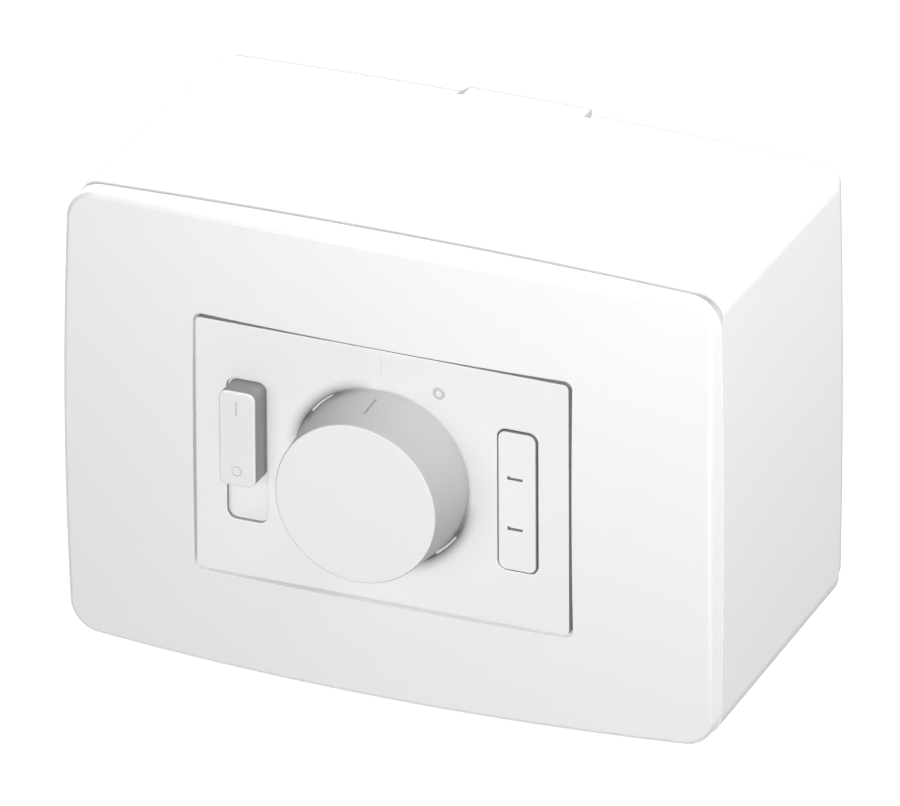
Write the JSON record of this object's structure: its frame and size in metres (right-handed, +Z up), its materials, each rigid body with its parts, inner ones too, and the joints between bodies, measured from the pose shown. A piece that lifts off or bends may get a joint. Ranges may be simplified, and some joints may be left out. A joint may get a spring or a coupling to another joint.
{
  "type": "fan control unit",
  "caption": "Surface-mounted wall control for a fan: a deep box with a bowed cover plate, a rotary speed knob, an on and off slider and a blanked slot.",
  "frame": {"origin": "centre of the box's flat back face, in the plane of the wall", "axes": "+X to the right seen from the front, +Y into the wall, +Z up; the front looks towards -Y"},
  "size_m": [0.1174, 0.0748, 0.0838],
  "materials": {
    "box_plastic": "satin",
    "plate_plastic": "satin",
    "panel_plastic": "satin",
    "plug_plastic": "satin",
    "knob_plastic": "satin",
    "slider_plastic": "satin",
    "frame_plastic": "satin",
    "switch_plastic": "satin",
    "actuator_plastic": "satin",
    "zinc_steel": "zinc plated",
    "spring_steel": "bare",
    "shaft_aluminium": "turned",
    "brass": "turned",
    "tinned_brass": "tin plated",
    "board_laminate": "solder resist",
    "terminal_plastic": "satin",
    "ferrite": "sintered",
    "copper_wire": "enamelled",
    "capacitor_case": "satin",
    "fuse_glass": "clear",
    "sink_aluminium": "extruded",
    "epoxy_case": "matt",
    "resistor_coat": "lacquered"
  },
  "bodies": {
    "housing": {"wall_box": "box_plastic", "cover_plate": "plate_plastic", "support_frame": "frame_plastic", "frame_screws": "zinc_steel", "control_panel": "panel_plastic", "blank_plug": "plug_plastic", "potentiometer_body": "switch_plastic", "bushing": "brass", "bushing_washer": "zinc_steel", "bushing_nut": "zinc_steel", "slide_switch_body": "switch_plastic", "circuit_board": "board_laminate", "board_screws": "zinc_steel", "terminal_block": "terminal_plastic", "terminal_clamps": "brass", "terminal_screws": "zinc_steel", "choke_core": "ferrite", "choke_winding": "copper_wire", "film_capacitors": "capacitor_case", "fuse": "fuse_glass", "fuse_clips": "tinned_brass", "heat_sink": "sink_aluminium", "triac": "epoxy_case", "heat_sink_screw": "zinc_steel", "resistors": "resistor_coat"},
    "speed_knob": {"knob": "knob_plastic", "knob_clip": "spring_steel", "control_shaft": "shaft_aluminium"},
    "on_off_slider": {"switch_slider": "slider_plastic", "switch_actuator": "actuator_plastic"}
  },
  "joints": [
    {"name": "knob_turn", "type": "hinge", "parent": "housing", "child": "speed_knob", "pos_m": [0, -0.0635, 0], "axis": [0, -1, 0], "range_deg": [-31, 269]},
    {"name": "slider_slide", "type": "slide", "parent": "housing", "child": "on_off_slider", "axis": [0, 0, -1], "range_m": [0, 0.008]}
  ]
}
